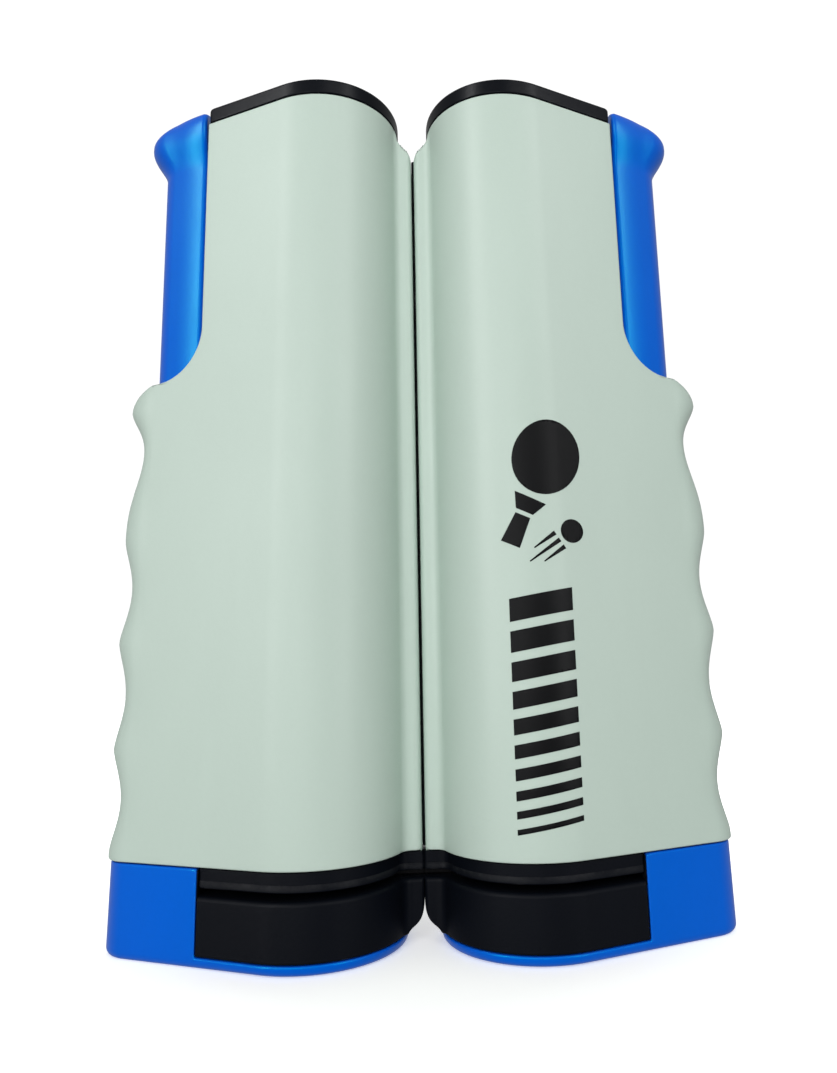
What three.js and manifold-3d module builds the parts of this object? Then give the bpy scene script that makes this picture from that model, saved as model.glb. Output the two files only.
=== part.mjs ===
// Retractable table tennis net set: two mirror-image clamp posts, closed side by side.
// Millimetres, +Z up. The origin is on the floor, midway between the posts, and the
// viewer stands at -Y. A post is drawn once, with +X running outwards from the seam
// between the posts; the left post is the same post in a mirrored group.
import * as THREE from "three";
import { mergeVertices } from "three/addons/utils/BufferGeometryUtils.js";
import Module from "manifold-3d";

const wasm = await Module();
wasm.setup();

// ---- driving dimensions ----
const HEIGHT = 218; // floor to the top of the cap
const GAP = 0.3; // between pieces that touch
const SEAM_X = 0.3; // half the gap between the closed posts
const WALL = 2.2; // casing wall

// plan section: a barrel and a small round end, joined by straight flanks
const BARREL_EDGE_X = 4.1; // where the barrel starts
const BARREL_R_BASE = 23.6;
const BARREL_R_TOP = 22.0;
const END_X_BASE = 76.3; // outer end of the section
const END_X_TOP = 73.6;
const END_R = 8;
const FADE_X = 68; // the finger scallops fade out here

// net lip on the seam side
const LIP_HALF = 5.5; // half its thickness
const LIP_FILLET = 3;
const SLOT_HALF = 1.3; // half the width of the net slot
const LIP_TOP = 206.8; // lip height at the seam, under the sloped shoulder
const LIP_SHOULDER = 5; // rise of the shoulder

// heights of the stack, from the floor up
const PLATE_TOP = 2.4;
const BLOCK_TOP = 15.2;
const MOUTH = 2.05; // clamp mouth when closed
const TOE_Z = 7.6; // the lower block's lip is cut away under this height at the seam
const BAND_BASE = 17.6; // the band's rim hangs round the pad
const PAD_TOP = 18.1;
const PAD_INSET = 2.4;
const BAND_TOP = 21.1;
const SHELL_BASE = BAND_TOP + GAP;
const SHELL_TOP = 213.4;

// the top slopes down outwards: heights above TILT_Z are raised by TILT for each
// millimetre inwards of TILT_X
const TILT = 0.06;
const TILT_X = 36;
const TILT_Z = 207;

// grip: finger stops [x, z], and the depth and skew of the scallop above each stop
const STOPS = [[76.8, 23], [76.8, 47], [76.7, 73], [76.3, 99], [76.1, 133.5]];
const SCALLOPS = [[2.5, 1], [2.5, 1], [2.7, 1], [4.2, 1.7]];
const FADE_POWER = 1.3;
const GRIP_TOP = 139.6;
const GRIP_TOP_X = 70; // where the rounded top stop ends
const CHANNEL_X = 69.8; // outer end of the hollow inside the grip

// the casing is cut back here, so that the thumb handle shows
const CUT_X = 55;
const CUT_Z = 153.6; // the straight cut turns into a quarter ellipse below this
const CUT_RX = 13;

// lower jaw, its draw bar and the thumb handle
const CORNER_X = 51.5; // inner face of the jaw corner
const BAR_X0 = 56.6;
const BAR_X1 = 62.2;
const BAR_X = (BAR_X0 + BAR_X1) / 2;
const BAR_HALF = 6;
const LAP_Z = 90; // the handle's stem and the jaw's bar lap above this
const LAP_TOP = 124;
const SHOULDER_Z = 128;
const HANDLE_X = 69.3;
const HANDLE_INSET = 2.7;
const HANDLE_INNER_X = CUT_X + 0.9;
const HEAD_Z = 201.5; // the thumb head flares out above this
const HEAD_WIDE_Z = 211;
const HEAD_X = 73.5;
const HEAD_TOP = 217.5;
const HEAD_ROUND_X = 9; // rounding of the head's outer end, along x
const HEAD_ROUND_Z = 6.4; // and along z
const HEAD_DROOP = 0.12; // slope of the head's top
const HEAD_EDGE = 1.6; // rounding of its front and back edges
const LAP_SCREWS_Z = [98, 114];
const LAP_SEAT_Y = 4.2; // seat of the lap screws' heads, sunk into the bar
const BLOCK_SCREWS_X = [18, 40];

// clamp spring, beside the draw bar
const SPRING_X = 66;
const SPRING_R = 2.9;
const SPRING_WIRE_R = 0.45;
const SHELF_Z = 34;
const SHELF_TOP = 36.5;
const SPRING_TURNS = 11;

// casing screws
const SCREW_X = 48.4;
const SCREWS_Z = [45, 118, 190];
const SCREW_SEAT_Y = 13;

// net reel in the left post
const REEL_X = 27;
const SPINDLE_R = 2;
const SOCKET_R = 5;
const TUBE_R = 6;
const TUBE_BORE_R = 4.7;
const TUBE_TOP = 206;
const ROLL_R = 16.5;
const NET_BASE = 27;
const NET_TOP = 170;
const NET_HALF = 0.25;
const ROD_R = 1.9; // rod at the net's fixed end, behind the right slot
const ROD_X = BARREL_EDGE_X + WALL + GAP + ROD_R + 1.5;

// ---- materials ----
const plastic = (color, roughness) =>
  new THREE.MeshStandardMaterial({ color, roughness, metalness: 0 });
const metal = (color, roughness) =>
  new THREE.MeshStandardMaterial({ color, roughness, metalness: 1 });
const PALE = plastic(0xc4d4ca, 0.5);
const BLUE = plastic(0x0563dc, 0.4);
const BLACK = plastic(0x16191e, 0.45);
const RUBBER = plastic(0x141517, 0.8);
const WHITE = plastic(0xe8e8e4, 0.6);
const NET = plastic(0x1b1f26, 0.9);
const STEEL = metal(0xb9bcc0, 0.35);

// ---- solids ----
const lerp = (a, b, t) => a + (b - a) * t;
const smooth = (t) => {
  const c = Math.min(Math.max(t, 0), 1);
  return c * c * (3 - 2 * c);
};

// a three.js geometry as a solid
function solid(geometry) {
  geometry.deleteAttribute("normal");
  geometry.deleteAttribute("uv");
  const merged = mergeVertices(geometry, 1e-4);
  const vertProperties = merged.attributes.position.array;
  const triVerts = Uint32Array.from(merged.index.array);
  const volume = signedVolume(vertProperties, triVerts);
  if (volume < 0) {
    for (let i = 0; i < triVerts.length; i += 3) {
      [triVerts[i], triVerts[i + 1]] = [triVerts[i + 1], triVerts[i]];
    }
  }
  return new wasm.Manifold(new wasm.Mesh({ numProp: 3, vertProperties, triVerts }));
}

function signedVolume(points, triangles) {
  const [a, b, c] = [new THREE.Vector3(), new THREE.Vector3(), new THREE.Vector3()];
  let sum = 0;
  for (let i = 0; i < triangles.length; i += 3) {
    a.fromArray(points, 3 * triangles[i]);
    b.fromArray(points, 3 * triangles[i + 1]);
    c.fromArray(points, 3 * triangles[i + 2]);
    sum += a.dot(b.cross(c));
  }
  return sum;
}

function geometryOf(body) {
  const mesh = body.getMesh();
  const geometry = new THREE.BufferGeometry();
  geometry.setAttribute("position", new THREE.BufferAttribute(mesh.vertProperties, 3));
  geometry.setIndex(new THREE.BufferAttribute(mesh.triVerts, 1));
  geometry.computeVertexNormals();
  return geometry;
}

function box(x0, x1, y0, y1, z0, z1) {
  const geometry = new THREE.BoxGeometry(x1 - x0, y1 - y0, z1 - z0);
  geometry.translate((x0 + x1) / 2, (y0 + y1) / 2, (z0 + z1) / 2);
  return solid(geometry);
}

// a turned piece about the upright line at x; profile points are [radius, z]
function turned(profile, x, segments = 20) {
  const points = profile.map(([r, z]) => new THREE.Vector2(r, z));
  const geometry = new THREE.LatheGeometry(points, segments);
  geometry.rotateX(Math.PI / 2);
  geometry.translate(x, 0, 0);
  return solid(geometry);
}

// a turned piece lying along +Y; profile points are [radius, y]
function turnedAcross(profile, x, z, segments = 12) {
  const points = profile.map(([r, y]) => new THREE.Vector2(r, y));
  const geometry = new THREE.LatheGeometry(points, segments);
  geometry.translate(x, 0, z);
  return solid(geometry);
}

const rod = (r, z0, z1) => [[0, z0], [r, z0], [r, z1], [0, z1]];
const ring = (r0, r1, z0, z1) => [[r0, z0], [r1, z0], [r1, z1], [r0, z1], [r0, z0]];

// a flat outline of [x, z] points, extruded across the whole depth
function across(outline, halfDepth = 40) {
  const shape = new THREE.Shape(outline.map(([x, z]) => new THREE.Vector2(x, z)));
  const geometry = new THREE.ExtrudeGeometry(shape, { depth: 2 * halfDepth, bevelEnabled: false });
  geometry.translate(0, 0, -halfDepth);
  geometry.rotateX(Math.PI / 2);
  return solid(geometry);
}

// a closed skin through level rings that have the same number of [x, y] points
function loft(levels) {
  const count = levels[0].points.length;
  const positions = levels.flatMap(({ z, points }) => points.flatMap(([x, y]) => [x, y, z]));
  const index = [];
  for (let k = 0; k + 1 < levels.length; k += 1) {
    for (let i = 0; i < count; i += 1) {
      const a = k * count + i;
      const b = k * count + ((i + 1) % count);
      index.push(a, b, b + count, a, b + count, a + count);
    }
  }
  const last = (levels.length - 1) * count;
  const lids = (points) =>
    THREE.ShapeUtils.triangulateShape(points.map(([x, y]) => new THREE.Vector2(x, y)), []);
  for (const [a, b, c] of lids(levels[0].points)) index.push(a, c, b);
  for (const [a, b, c] of lids(levels.at(-1).points)) index.push(last + a, last + b, last + c);
  const geometry = new THREE.BufferGeometry();
  geometry.setAttribute("position", new THREE.Float32BufferAttribute(positions, 3));
  geometry.setIndex(index);
  return solid(geometry);
}

class Helix extends THREE.Curve {
  constructor(radius, turns, z0, z1) {
    super();
    Object.assign(this, { radius, turns, z0, z1 });
  }

  getPoint(t) {
    const angle = 2 * Math.PI * this.turns * t;
    const x = this.radius * Math.cos(angle);
    const y = this.radius * Math.sin(angle);
    return new THREE.Vector3(x, y, lerp(this.z0, this.z1, t));
  }
}

function coil(x, radius, wireR, turns, z0, z1) {
  const sides = 4;
  const wire = new THREE.Shape(Array.from({ length: sides }, (_, i) => {
    const angle = (2 * Math.PI * i) / sides;
    return new THREE.Vector2(wireR * Math.cos(angle), wireR * Math.sin(angle));
  }));
  const path = new Helix(radius, turns, z0 + wireR, z1 - wireR);
  const steps = 8 * turns;
  const geometry = new THREE.ExtrudeGeometry(wire, { steps, extrudePath: path });
  geometry.translate(x, 0, 0);
  return solid(geometry);
}

// ---- the plan section ----
// outer end of the section at each height, with the finger scallops
function gripX(z) {
  const top = STOPS.at(-1);
  if (z >= top[1]) {
    const t = Math.min((z - top[1]) / (GRIP_TOP - top[1]), 1);
    return lerp(GRIP_TOP_X, top[0], Math.sqrt(1 - t * t));
  }
  if (z <= STOPS[0][1]) return STOPS[0][0];
  const i = STOPS.findIndex(([, stopZ]) => stopZ > z) - 1;
  const [[x0, z0], [x1, z1]] = [STOPS[i], STOPS[i + 1]];
  const [depth, skew] = SCALLOPS[i];
  const t = ((z - z0) / (z1 - z0)) ** skew;
  return lerp(x0, x1, t) - depth * Math.sin(Math.PI * t) ** 1.4;
}

// Half of the section at height z, from the outer end inwards, as [x, y] with y >= 0.
// inset moves it inwards, endX says where the outer end is, lip adds the net lip.
function halfSection(z, { inset = 0, endX = null, lip = false, grip = false }) {
  const r = lerp(BARREL_R_BASE, BARREL_R_TOP, z / HEIGHT) - inset;
  const barrelX = BARREL_EDGE_X + r + inset;
  const baseX = lerp(END_X_BASE, END_X_TOP, z / HEIGHT) - inset;
  const outerX = endX ?? baseX;
  const endR = END_R - inset / 2;
  const endCentre = outerX - endR;
  const lean = Math.asin((r - endR) / (endCentre - barrelX));
  const reach = Math.PI / 2 - lean;
  const points = [];
  const endSteps = 4;
  for (let i = 0; i <= endSteps; i += 1) {
    const a = (reach * i) / endSteps;
    points.push([endCentre + endR * Math.cos(a), endR * Math.sin(a)]);
  }
  // one point on the straight flank, where the scallops fade out
  const [fromX, fromY] = points.at(-1);
  const fadeX = Math.min(FADE_X, fromX - 1);
  points.push([fadeX, fromY + (fromX - fadeX) * Math.tan(lean)]);
  // the barrel ends at the lip's fillet, or on the centre line
  const filletY = LIP_HALF - inset + LIP_FILLET;
  const filletX = barrelX - Math.sqrt((r + LIP_FILLET) ** 2 - filletY ** 2);
  const stop = lip ? Math.atan2(filletY, filletX - barrelX) : Math.PI;
  const barrelSteps = 8;
  for (let i = 0; i <= barrelSteps; i += 1) {
    const a = lerp(reach, stop, i / barrelSteps);
    points.push([barrelX + r * Math.cos(a), r * Math.sin(a)]);
  }
  if (lip) {
    const faceX = SEAM_X + inset / 2;
    points.push([filletX + LIP_FILLET * 0.5, filletY - LIP_FILLET * 0.87]);
    points.push([faceX + 0.7, filletY - LIP_FILLET]);
    points.push([faceX, filletY - LIP_FILLET - 0.7]);
  }
  if (grip) {
    const push = gripX(z) - outerX;
    for (const p of points) {
      if (p[0] > FADE_X) p[0] += push * ((p[0] - FADE_X) / (outerX - FADE_X)) ** FADE_POWER;
    }
  }
  return points;
}

// the whole section as one ring, counter-clockwise from its outer end
function section(z, options = {}) {
  const half = halfSection(z, options);
  const mirrored = half.slice(1).map(([x, y]) => [x, -y]).reverse();
  const points = options.lip ? [...half, ...mirrored] : [...half, ...mirrored.slice(1)];
  return { z, points };
}

const tilted = (body) => body.warp((point) => {
  const share = Math.min(Math.max((point[2] - TILT_Z) / (SHELL_TOP - TILT_Z), 0), 1);
  point[2] += share * TILT * (TILT_X - point[0]);
});

const beyond = (x) => box(x, 200, -100, 100, -50, 300);
const within = (x) => box(-200, x, -100, 100, -50, 300);
const sectionSolid = (z0, z1, options) => loft([section(z0, options), section(z1, options)]);
// the hollow inside the casing walls, less a clearance all round
const hollow = (z0, z1, clearance) =>
  sectionSolid(z0, z1, { inset: WALL + clearance, endX: CHANNEL_X - clearance });

// ---- casing ----
function gripLevels() {
  const levels = [SHELL_BASE];
  const parts = 4;
  STOPS.slice(0, -1).forEach(([, z], i) => {
    for (let k = 0; k < parts; k += 1) levels.push(lerp(z, STOPS[i + 1][1], k / parts));
  });
  const topZ = STOPS.at(-1)[1];
  for (const t of [0, 0.6, 0.9, 1]) levels.push(lerp(topZ, GRIP_TOP, t));
  return levels;
}

// everything outside the quarter-ellipse cut-out for the thumb handle
function handleCut() {
  const rz = CUT_Z - GRIP_TOP;
  const steps = 8;
  const curve = Array.from({ length: steps + 1 }, (_, i) => {
    const a = (Math.PI / 2) * (i / steps);
    return [CUT_X + CUT_RX * (1 - Math.cos(a)), CUT_Z - rz * Math.sin(a)];
  });
  return across([[CUT_X, HEIGHT + 10], ...curve, [90, GRIP_TOP], [90, HEIGHT + 10]]);
}

function casing() {
  const grip = loft(gripLevels().map((z) => section(z, { lip: true, grip: true })));
  const upper = loft([GRIP_TOP, TILT_Z, SHELL_TOP].map((z) => section(z, { lip: true })));
  const outer = grip.add(tilted(upper));
  const inner = hollow(SHELL_BASE - 1, TILT_Z, 0).add(tilted(hollow(TILT_Z, SHELL_TOP + 1, 0)));
  const partition = box(CUT_X - WALL, CUT_X, -40, 40, SHELL_BASE, SHELL_TOP);
  const shelf = box(BAR_X1 + GAP, END_X_BASE - 2, -40, 40, SHELF_Z, SHELF_TOP);
  // inner walls and screw bosses reach into the casing wall, but not through it
  let ribs = partition.add(shelf);
  for (const z of SCREWS_Z) ribs = ribs.add(turnedAcross(rod(3.2, -40, 40), SCREW_X, z));
  const reach = sectionSolid(SHELL_BASE - 1, SHELL_TOP + 1, { inset: WALL / 2, endX: CHANNEL_X })
    .intersect(tilted(loft([section(SHELL_BASE - 1), section(TILT_Z), section(SHELL_TOP)])));
  const shell = outer.subtract(inner).add(ribs.intersect(reach));
  const shoulder = [
    [-1, LIP_TOP - 0.5], [SEAM_X, LIP_TOP], [1.3, LIP_TOP + 1.6], [3.6, LIP_TOP + 3.4],
    [BARREL_EDGE_X + 0.6, LIP_TOP + LIP_SHOULDER], [BARREL_EDGE_X + 0.6, HEIGHT + 5],
    [-1, HEIGHT + 5],
  ];
  return shell
    .subtract(handleCut())
    .subtract(across(shoulder))
    .subtract(box(-5, 9, -SLOT_HALF, SLOT_HALF, 0, HEIGHT + 5))
    .subtract(turned(rod(1.2 + GAP, SHELF_Z - 1, SHELF_TOP + 1), SPRING_X, 10));
}

function halfCasing(shell, side) {
  const depth = 50;
  const y0 = side < 0 ? -depth : GAP / 2;
  let half = shell.intersect(box(-5, 90, y0, y0 + depth - GAP / 2, 0, HEIGHT + 5));
  for (const z of SCREWS_Z) {
    if (side < 0) {
      half = half.subtract(turnedAcross(rod(1.7, -9, 1), SCREW_X, z));
    } else {
      half = half
        .subtract(turnedAcross(rod(1.8, -1, 40), SCREW_X, z))
        .subtract(turnedAcross(rod(3, SCREW_SEAT_Y, 40), SCREW_X, z));
    }
  }
  return half;
}

function topCap() {
  const edge = 0.8;
  const plate = loft([
    section(SHELL_TOP + GAP),
    section(HEIGHT - edge),
    section(HEIGHT, { inset: edge }),
  ]).intersect(within(CUT_X - 0.2));
  const plugBase = SHELL_TOP - 5;
  const plug = hollow(plugBase, SHELL_TOP + 1, GAP)
    .subtract(hollow(plugBase - 1, SHELL_TOP, WALL))
    .intersect(within(CUT_X - WALL - GAP));
  return tilted(plate.add(plug))
    .add(turned(rod(SOCKET_R, TUBE_TOP + 2, SHELL_TOP + 1), REEL_X))
    .subtract(turned(rod(SPINDLE_R + GAP, TUBE_TOP + 1, SHELL_TOP - 1), REEL_X));
}

// ---- upper jaw ----
function upperJaw() {
  const band = sectionSolid(BAND_BASE, BAND_TOP, { inset: 1.2, lip: true })
    .subtract(sectionSolid(BAND_BASE - 1, PAD_TOP + GAP, { inset: PAD_INSET - GAP, lip: true })
      .intersect(within(CORNER_X - 2.3 + GAP)))
    .intersect(within(CORNER_X - 1.3));
  const plugTop = BAND_TOP + 4;
  const plug = hollow(BAND_TOP - 1, plugTop, GAP)
    .subtract(hollow(BAND_TOP, plugTop + 1, WALL))
    .intersect(within(CORNER_X - 1.3));
  const socket = turned(rod(SOCKET_R, BAND_TOP - 1, plugTop), REEL_X);
  return band
    .add(plug)
    .add(socket)
    .subtract(turned(rod(SPINDLE_R + GAP, BAND_TOP - 1, plugTop + 1), REEL_X));
}

const upperJawPad = () =>
  sectionSolid(BLOCK_TOP + MOUTH, PAD_TOP, { inset: PAD_INSET, lip: true })
    .intersect(within(CORNER_X - 2.3));

// ---- lower jaw ----
function lowerJaw() {
  const edge = 0.8;
  const plate = loft([section(0, { inset: edge }), section(edge), section(PLATE_TOP)]);
  const corner = sectionSolid(PLATE_TOP - 0.5, BAND_TOP, {}).intersect(beyond(CORNER_X));
  const bar = box(BAR_X0, BAR_X1, -BAR_HALF, BAR_HALF, BAND_TOP - 1, LAP_Z - GAP);
  const tongue = box(BAR_X0, BAR_X1, GAP / 2, BAR_HALF, LAP_Z - 1, LAP_TOP);
  let jaw = plate.add(corner).add(bar).add(tongue);
  for (const z of LAP_SCREWS_Z) {
    jaw = jaw
      .subtract(turnedAcross(rod(1.8, -1, 20), BAR_X, z))
      .subtract(turnedAcross(rod(2.7, LAP_SEAT_Y, 20), BAR_X, z));
  }
  for (const x of BLOCK_SCREWS_X) {
    jaw = jaw
      .subtract(turned(rod(1.8, -1, 4), x, 12))
      .subtract(turned([[0, -0.5], [3.9, -0.5], [1.7, 1.9], [0, 1.9]], x, 12));
  }
  return jaw;
}

function jawBlock() {
  const edge = 1.2;
  const options = { lip: true };
  let block = loft([
    section(PLATE_TOP + GAP, options),
    section(BLOCK_TOP - edge, options),
    section(BLOCK_TOP - 0.3 * edge, { ...options, inset: 0.35 * edge }),
    section(BLOCK_TOP, { ...options, inset: edge }),
  ]).intersect(within(CORNER_X - GAP));
  const toe = [
    [-1, TOE_Z + 0.5], [SEAM_X, TOE_Z], [1.1, TOE_Z - 1.9], [3.2, TOE_Z - 4], [4.2, 2], [4.4, 0], [-1, 0],
  ];
  block = block.subtract(across(toe));
  for (const x of BLOCK_SCREWS_X) {
    block = block.subtract(turned(rod(1.7, 0, 11), x, 12));
  }
  return block;
}

// ---- thumb handle ----
// one level of the handle: flare 0 is the sliding stem, 1 the widest part of the head
function handleLevel(z, flare, roundX = 0, roundY = 0) {
  const inset = lerp(HANDLE_INSET, 0.6, flare) + roundY;
  const endX = lerp(HANDLE_X, HEAD_X, flare) - roundX;
  return { z, points: section(HEIGHT, { inset, endX }).points };
}

function thumbHandle() {
  const levels = [handleLevel(SHOULDER_Z, 0)];
  for (const t of [0, 0.25, 0.5, 0.75, 1]) {
    levels.push(handleLevel(lerp(HEAD_Z, HEAD_WIDE_Z, t), smooth(t)));
  }
  for (const turn of [15, 35, 50, 70, 90]) {
    const a = THREE.MathUtils.degToRad(turn);
    const z = HEAD_TOP - HEAD_ROUND_Z * (1 - Math.sin(a));
    const nearTop = Math.max(1 - (HEAD_TOP - z) / HEAD_EDGE, 0);
    const roundY = HEAD_EDGE * (1 - Math.sqrt(1 - nearTop ** 2));
    levels.push(handleLevel(z, 1, HEAD_ROUND_X * (1 - Math.cos(a)), roundY));
  }
  const stem = box(BAR_X0, BAR_X1, -BAR_HALF, -GAP / 2, LAP_Z, SHOULDER_Z + 1);
  const drooped = loft(levels).warp((point) => {
    const share = Math.max((point[2] - HEAD_WIDE_Z) / (HEAD_TOP - HEAD_WIDE_Z), 0);
    point[2] -= share * HEAD_DROOP * (point[0] - HANDLE_INNER_X);
  });
  let handle = drooped.intersect(beyond(HANDLE_INNER_X)).add(stem);
  for (const z of LAP_SCREWS_Z) {
    handle = handle.subtract(turnedAcross(rod(1.7, -5, 1), BAR_X, z));
  }
  return handle;
}

// ---- screws ----
// a pan-head screw along +Y: its head's seat is at y = seat, its tip at y = tip
const panScrew = (seat, tip, x, z) =>
  turnedAcross([
    [0, tip], [1, tip + 0.5], [1.4, tip + 1.6], [1.4, seat + GAP], [2.4, seat + GAP],
    [2.4, seat + 1.2], [1.6, seat + 2], [0, seat + 2],
  ], x, z, 10);

const blockScrew = (x) =>
  turned([[0, 0.2], [2.9, 0.2], [1.3, 1.8], [1.3, 9], [0.6, 10], [0, 10]], x, 10);

// ---- one post ----
function addPost(parent, side, mirror) {
  const post = new THREE.Group();
  post.scale.x = mirror;
  parent.add(post);
  const add = (name, body, material) => {
    const mesh = new THREE.Mesh(geometryOf(body), material);
    mesh.name = `${side}_${name}`;
    post.add(mesh);
  };
  const shell = casing();
  add("front_shell", halfCasing(shell, -1), PALE);
  add("rear_shell", halfCasing(shell, 1), PALE);
  SCREWS_Z.forEach((z, i) => {
    add(`casing_screw_${i + 1}`, panScrew(SCREW_SEAT_Y, -8, SCREW_X, z), STEEL);
  });
  add("top_cap", topCap(), BLACK);
  add("upper_jaw", upperJaw(), BLACK);
  add("upper_jaw_pad", upperJawPad(), RUBBER);
  add("lower_jaw", lowerJaw(), BLUE);
  add("jaw_block", jawBlock(), BLACK);
  BLOCK_SCREWS_X.forEach((x, i) => add(`block_screw_${i + 1}`, blockScrew(x), STEEL));
  add("thumb_handle", thumbHandle(), BLUE);
  LAP_SCREWS_Z.forEach((z, i) => {
    add(`handle_screw_${i + 1}`, panScrew(LAP_SEAT_Y, -4.5, BAR_X, z), STEEL);
  });
  const springZ = [SHELF_TOP + GAP, SHOULDER_Z - GAP];
  add("clamp_spring", coil(SPRING_X, SPRING_R, SPRING_WIRE_R, SPRING_TURNS, ...springZ), STEEL);
  const pin = [
    [0, SHELF_Z - 2.6], [2.3, SHELF_Z - 2.6], [2.3, SHELF_Z - GAP], [1.2, SHELF_Z - GAP],
    [1.2, 71], [0.6, 72], [0, 72],
  ];
  add("spring_guide", turned(pin, SPRING_X, 10), STEEL);
  return add;
}

// ---- the net and its reel ----
function addReel(addLeft, addRight) {
  const foot = BAND_TOP - 1 + GAP;
  addLeft("spindle", turned(rod(SPINDLE_R, foot, SHELL_TOP - 1 - GAP), REEL_X, 14), STEEL);
  addLeft("recoil_spring", coil(REEL_X, 3.3, 0.4, 12, 40, 194), STEEL);
  addLeft("spool_tube", turned(ring(TUBE_BORE_R, TUBE_R, NET_BASE, TUBE_TOP), REEL_X), WHITE);
  const bore = SPINDLE_R + GAP;
  const bush = (end, inwards) => turned([
    [bore, end - 1.4 * inwards], [TUBE_R, end - 1.4 * inwards], [TUBE_R, end - GAP * inwards],
    [TUBE_BORE_R - GAP, end - GAP * inwards], [TUBE_BORE_R - GAP, end + 6 * inwards],
    [bore, end + 6 * inwards], [bore, end - 1.4 * inwards],
  ], REEL_X, 16);
  addLeft("lower_bush", bush(NET_BASE, 1), WHITE);
  addLeft("upper_bush", bush(TUBE_TOP, -1), WHITE);
  addLeft("net_roll", turned(ring(TUBE_R + GAP, ROLL_R, NET_BASE, NET_TOP), REEL_X, 28), NET);
  addRight("net_web", box(-8, ROD_X - ROD_R - GAP, -NET_HALF, NET_HALF, NET_BASE, NET_TOP), NET);
  addRight("net_end_rod", turned(rod(ROD_R, NET_BASE - 1.5, NET_TOP + 2), ROD_X, 12), WHITE);
}

const netSet = new THREE.Group();
const addLeft = addPost(netSet, "left", -1);
const addRight = addPost(netSet, "right", 1);
addReel(addLeft, addRight);

export default netSet;
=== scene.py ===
"""Looks for the retractable table tennis net set: two mirror-image clamp posts.

Shapes are worked out in millimetres for one post, with x running outwards from the seam
between the posts. The left post is the same post mirrored.
"""

import math

import bmesh
import bpy
from mathutils import Matrix, Vector


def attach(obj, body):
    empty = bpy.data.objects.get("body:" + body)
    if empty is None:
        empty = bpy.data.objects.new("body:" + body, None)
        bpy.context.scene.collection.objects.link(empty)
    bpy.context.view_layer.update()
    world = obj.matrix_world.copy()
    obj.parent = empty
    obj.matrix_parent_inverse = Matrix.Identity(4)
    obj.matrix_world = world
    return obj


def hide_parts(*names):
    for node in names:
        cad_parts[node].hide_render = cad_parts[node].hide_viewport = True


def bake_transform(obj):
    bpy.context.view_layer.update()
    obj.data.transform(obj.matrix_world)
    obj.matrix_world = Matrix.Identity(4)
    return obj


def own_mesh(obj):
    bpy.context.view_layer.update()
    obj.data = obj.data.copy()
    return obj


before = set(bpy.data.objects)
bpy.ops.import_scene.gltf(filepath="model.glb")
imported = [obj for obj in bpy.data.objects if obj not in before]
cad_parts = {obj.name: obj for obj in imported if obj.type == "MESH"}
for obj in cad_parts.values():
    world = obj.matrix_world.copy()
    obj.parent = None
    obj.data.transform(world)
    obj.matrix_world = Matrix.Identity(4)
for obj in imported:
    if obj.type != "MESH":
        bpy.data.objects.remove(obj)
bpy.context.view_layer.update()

MM = 0.001
SIDES = {"left": -1, "right": 1}

# ---- dimensions in mm, the same as the CAD's but for the few that say otherwise ----
HEIGHT = 218
GAP = 0.3
SEAM_X = 0.38  # the casings' lips stand this far from the seam
JAW_SEAM_X = 0.01  # the jaws meet at the seam
WALL = 2.2
PARTING_Y = 0.12

BARREL_EDGE_X = 4.1
BARREL_R_BASE = 23.6
BARREL_R_TOP = 22.0
END_X_BASE = 76.3
END_X_TOP = 73.6
END_R = 8
FADE_X = 68  # the scallops fade out towards here
FADE_POWER = 1.3

LIP_HALF = 5.5
LIP_FILLET = 3
LIP_ROUND = 1.7
LIP_GONE_X = 6.0
SLOT_HALF = 1.3
# the lip's sloped shoulder and the block's cut-away toe, as Bezier points (x, z)
SHOULDER = [(SEAM_X, 206.2), (SEAM_X, 209.4), (4.5, 208.9), (4.5, 212.5)]
TOE = [(JAW_SEAM_X, 10.5), (JAW_SEAM_X, 3.2), (4.3, 5.4), (4.3, 1.0)]

PLATE_TOP = 2.4
BLOCK_TOP = 15.2
PAD_BASE = 17.25
BAND_BASE = 16.8  # lower than the CAD's: a soft rim hangs round the pad
PAD_TOP = 18.1
PAD_INSET = 2.4
PAD_RIB_STEP = 2.3
BAND_TOP = 21.1
SHELL_BASE = 21.4
SHELL_TOP = 213.4
# the top slopes: above TILT_Z, heights rise by up to TILT for each mm inwards of TILT_X
TILT = 0.06
TILT_X = 36
TILT_Z = 207

# the grip's crests as (x, z), and the scallop above each of them as (depth, skew)
STOPS = [(76.8, 23), (76.8, 47), (76.7, 73), (76.3, 99), (76.1, 133.5)]
SCALLOPS = [(2.5, 1), (2.5, 1), (2.7, 1), (4.2, 1.7)]
GRIP_TOP = 139.6
GRIP_TOP_X = 70
CHANNEL_X = 69.8  # outer end of the hollow inside the grip

# the cut-out for the thumb handle
CUT_X = 55
CUT_Z = 153.6
CUT_RX = 13

CORNER_X = 51.5
BAND_END_X = CORNER_X - 0.45  # the CAD's band is 0.85 shorter
BAR_X0 = 56.6
BAR_X1 = 62.2
BAR_X = (BAR_X0 + BAR_X1) / 2
BAR_HALF = 6
LAP_Z = 90
LAP_TOP = 124
SHOULDER_Z = 128
HANDLE_X = 69.3
HANDLE_INSET = 2.7
HANDLE_INNER_X = 55.9
HEAD_Z = 201.5
HEAD_WIDE_Z = 211
HEAD_X = 73.5
HEAD_TOP = 218  # the CAD's is 217.5
HEAD_ROUND_X = 9
HEAD_ROUND_Z = 6.4
HEAD_DROOP = 0.12  # slope of the head's top
HEAD_EDGE = 1.6  # rounding of the head's front and back edges
HANDLE_CROWN = 0.38  # bulge of the handle's flanks, which ends at CROWN_END_X
CROWN_END_X = 65
LAP_SCREWS_Z = [98, 114]
LAP_SEAT_Y = 4.2
BLOCK_SCREWS_X = [18, 40]

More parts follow.
